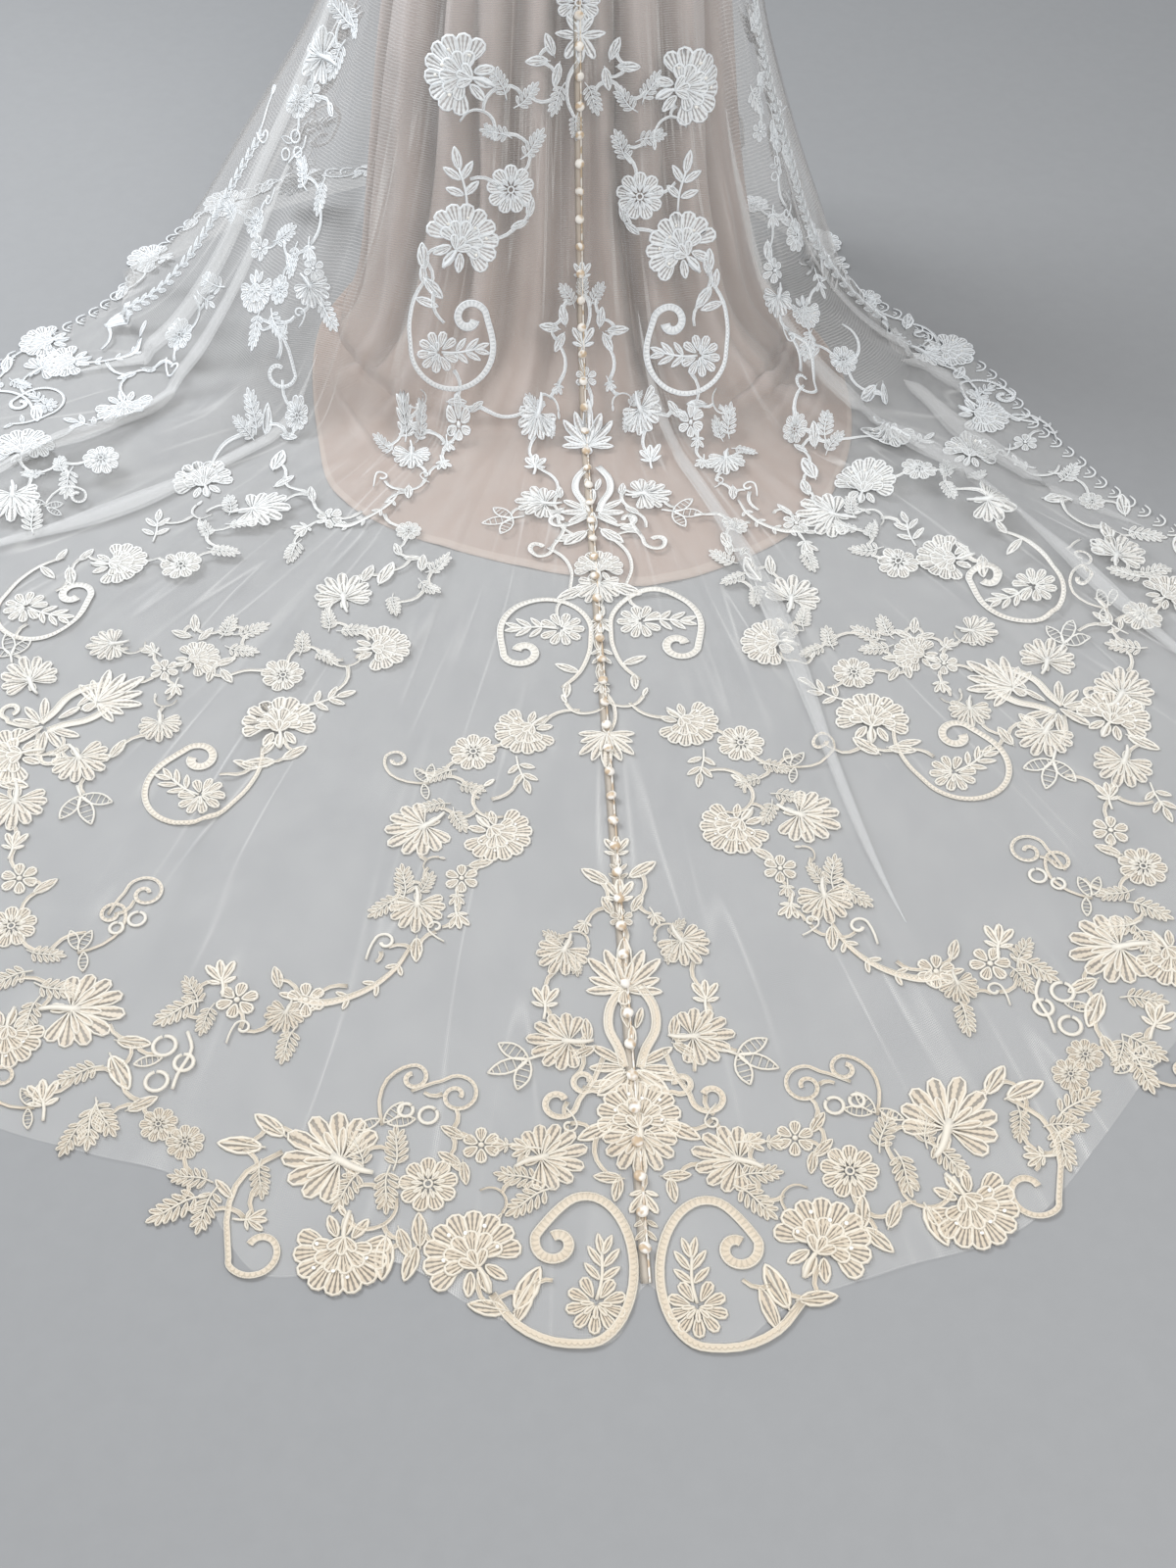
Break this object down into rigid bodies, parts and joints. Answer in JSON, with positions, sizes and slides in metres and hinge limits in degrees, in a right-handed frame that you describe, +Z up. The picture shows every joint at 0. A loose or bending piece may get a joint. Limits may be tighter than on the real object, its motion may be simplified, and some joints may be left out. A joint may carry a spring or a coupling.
{
  "type": "wedding dress",
  "caption": "Hollow full-length wedding dress: sleeveless bodice, opaque slip and a sheer tulle overskirt with a long lace-edged train and covered buttons down the back.",
  "frame": {"origin": "midpoint of the shoulder line, where the wearer holds the dress up; the floor is 1.45 m below", "axes": "+Z up, +Y towards the garment's front, the train lies towards -Y, +X to the right when seen from behind"},
  "size_m": [1.9777, 2.138, 1.4514],
  "materials": {
    "tulle": "matte",
    "slip": "satin",
    "bodice": "satin",
    "lace": "matte",
    "buttons": "satin"
  },
  "bodies": {
    "root": {"slip_front": "slip", "slip_back": "slip", "bodice_front": "bodice", "bodice_back_left": "bodice", "bodice_back_right": "bodice", "button_band_bodice": "buttons", "button_band_train": "buttons", "train_left": "tulle", "lace_border_train_left": "lace", "train_right": "tulle", "lace_border_train_right": "lace", "overskirt_side_left": "tulle", "lace_border_overskirt_side_left": "lace", "overskirt_side_right": "tulle", "lace_border_overskirt_side_right": "lace", "overskirt_front": "tulle", "lace_border_overskirt_front": "lace", "lace_scroll_1_left": "lace", "lace_scroll_1_right": "lace", "lace_flower_2_left": "lace", "lace_flower_2_right": "lace", "lace_peony_3_left": "lace", "lace_peony_3_right": "lace", "lace_flower_4_left": "lace", "lace_flower_4_right": "lace", "lace_flower_5_left": "lace", "lace_flower_5_right": "lace", "lace_flower_6_left": "lace", "lace_flower_6_right": "lace", "lace_rosette_7_left": "lace", "lace_rosette_7_right": "lace"}
  },
  "joints": []
}
